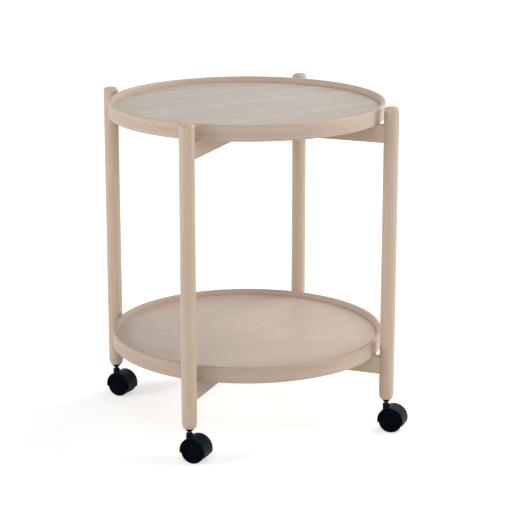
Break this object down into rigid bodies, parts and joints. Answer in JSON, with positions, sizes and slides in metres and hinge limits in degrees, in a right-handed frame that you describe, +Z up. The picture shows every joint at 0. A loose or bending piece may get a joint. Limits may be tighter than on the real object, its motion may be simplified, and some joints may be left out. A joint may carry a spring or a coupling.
{
  "type": "room service table",
  "caption": "Round serving table on castors: shallow round wooden trays with raised rims lift off crossed rails between turned legs, each leg on a swivelling hooded castor.",
  "frame": {"origin": "point of the floor under the centre of the trays, which is the bottom centre of the bounding box", "axes": "+Z up; -Y is the front; the legs stand on the diagonals, front left, front right, back right and back left; the castors trail towards +X -Y at rest"},
  "size_m": [0.4999, 0.5, 0.6],
  "materials": {
    "leg_wood": "pale white-oiled beech, matt",
    "rail_wood": "pale white-oiled beech, matt",
    "rim_wood": "pale white-oiled beech, matt",
    "upper_panel_wood": "pale soaped veneer, matt",
    "lower_panel_wood": "pale soaped veneer, matt",
    "black_plastic": "black moulded plastic",
    "hood_nylon": "black nylon, satin",
    "wheel_nylon": "black nylon, satin",
    "steel": "zinc-plated steel"
  },
  "bodies": {
    "frame": {"leg_front_left": "leg_wood", "leg_front_right": "leg_wood", "leg_back_right": "leg_wood", "leg_back_left": "leg_wood", "upper_rail_over": "rail_wood", "upper_rail_under": "rail_wood", "lower_rail_over": "rail_wood", "lower_rail_under": "rail_wood", "castor_front_left_socket": "black_plastic", "castor_front_right_socket": "black_plastic", "castor_back_right_socket": "black_plastic", "castor_back_left_socket": "black_plastic"},
    "upper_tray": {"upper_tray_rim": "rim_wood", "upper_tray_panel": "upper_panel_wood"},
    "lower_tray": {"lower_tray_rim": "rim_wood", "lower_tray_panel": "lower_panel_wood"},
    "castor_front_left": {"castor_front_left_stem": "steel", "castor_front_left_snap_ring": "steel", "castor_front_left_hood": "hood_nylon", "castor_front_left_axle": "steel"},
    "castor_front_left_left_wheel": {"castor_front_left_left_wheel": "wheel_nylon"},
    "castor_front_left_right_wheel": {"castor_front_left_right_wheel": "wheel_nylon"},
    "castor_front_right": {"castor_front_right_stem": "steel", "castor_front_right_snap_ring": "steel", "castor_front_right_hood": "hood_nylon", "castor_front_right_axle": "steel"},
    "castor_front_right_left_wheel": {"castor_front_right_left_wheel": "wheel_nylon"},
    "castor_front_right_right_wheel": {"castor_front_right_right_wheel": "wheel_nylon"},
    "castor_back_right": {"castor_back_right_stem": "steel", "castor_back_right_snap_ring": "steel", "castor_back_right_hood": "hood_nylon", "castor_back_right_axle": "steel"},
    "castor_back_right_left_wheel": {"castor_back_right_left_wheel": "wheel_nylon"},
    "castor_back_right_right_wheel": {"castor_back_right_right_wheel": "wheel_nylon"},
    "castor_back_left": {"castor_back_left_stem": "steel", "castor_back_left_snap_ring": "steel", "castor_back_left_hood": "hood_nylon", "castor_back_left_axle": "steel"},
    "castor_back_left_left_wheel": {"castor_back_left_left_wheel": "wheel_nylon"},
    "castor_back_left_right_wheel": {"castor_back_left_right_wheel": "wheel_nylon"}
  },
  "joints": [
    {"name": "upper_tray_lift", "type": "slide", "parent": "frame", "child": "upper_tray", "axis": [0, 0, 1], "range_m": [0, 0.2]},
    {"name": "lower_tray_lift", "type": "slide", "parent": "frame", "child": "lower_tray", "axis": [0, 0, 1], "range_m": [0, 0.36]},
    {"name": "castor_front_left_swivel", "type": "hinge", "parent": "frame", "child": "castor_front_left", "pos_m": [-0.19304, -0.19304, 0.0601], "axis": [0, 0, 1], "continuous": true},
    {"name": "castor_front_left_left_wheel_roll", "type": "hinge", "parent": "castor_front_left", "child": "castor_front_left_left_wheel", "pos_m": [-0.18461, -0.2024, 0.022], "axis": [0.7431, 0.6691, 0], "continuous": true},
    {"name": "castor_front_left_right_wheel_roll", "type": "hinge", "parent": "castor_front_left", "child": "castor_front_left_right_wheel", "pos_m": [-0.18461, -0.2024, 0.022], "axis": [0.7431, 0.6691, 0], "continuous": true},
    {"name": "castor_front_right_swivel", "type": "hinge", "parent": "frame", "child": "castor_front_right", "pos_m": [0.19304, -0.19304, 0.0601], "axis": [0, 0, 1], "continuous": true},
    {"name": "castor_front_right_left_wheel_roll", "type": "hinge", "parent": "castor_front_right", "child": "castor_front_right_left_wheel", "pos_m": [0.2021, -0.20179, 0.022], "axis": [0.6947, 0.7193, 0], "continuous": true},
    {"name": "castor_front_right_right_wheel_roll", "type": "hinge", "parent": "castor_front_right", "child": "castor_front_right_right_wheel", "pos_m": [0.2021, -0.20179, 0.022], "axis": [0.6947, 0.7193, 0], "continuous": true},
    {"name": "castor_back_right_swivel", "type": "hinge", "parent": "frame", "child": "castor_back_right", "pos_m": [0.19304, 0.19304, 0.0601], "axis": [0, 0, 1], "continuous": true},
    {"name": "castor_back_right_left_wheel_roll", "type": "hinge", "parent": "castor_back_right", "child": "castor_back_right_left_wheel", "pos_m": [0.20163, 0.18383, 0.022], "axis": [0.7314, 0.682, 0], "continuous": true},
    {"name": "castor_back_right_right_wheel_roll", "type": "hinge", "parent": "castor_back_right", "child": "castor_back_right_right_wheel", "pos_m": [0.20163, 0.18383, 0.022], "axis": [0.7314, 0.682, 0], "continuous": true},
    {"name": "castor_back_left_swivel", "type": "hinge", "parent": "frame", "child": "castor_back_left", "pos_m": [-0.19304, 0.19304, 0.0601], "axis": [0, 0, 1], "continuous": true},
    {"name": "castor_back_left_left_wheel_roll", "type": "hinge", "parent": "castor_back_left", "child": "castor_back_left_left_wheel", "pos_m": [-0.18528, 0.18311, 0.022], "axis": [0.788, 0.6157, 0], "continuous": true},
    {"name": "castor_back_left_right_wheel_roll", "type": "hinge", "parent": "castor_back_left", "child": "castor_back_left_right_wheel", "pos_m": [-0.18528, 0.18311, 0.022], "axis": [0.788, 0.6157, 0], "continuous": true}
  ]
}
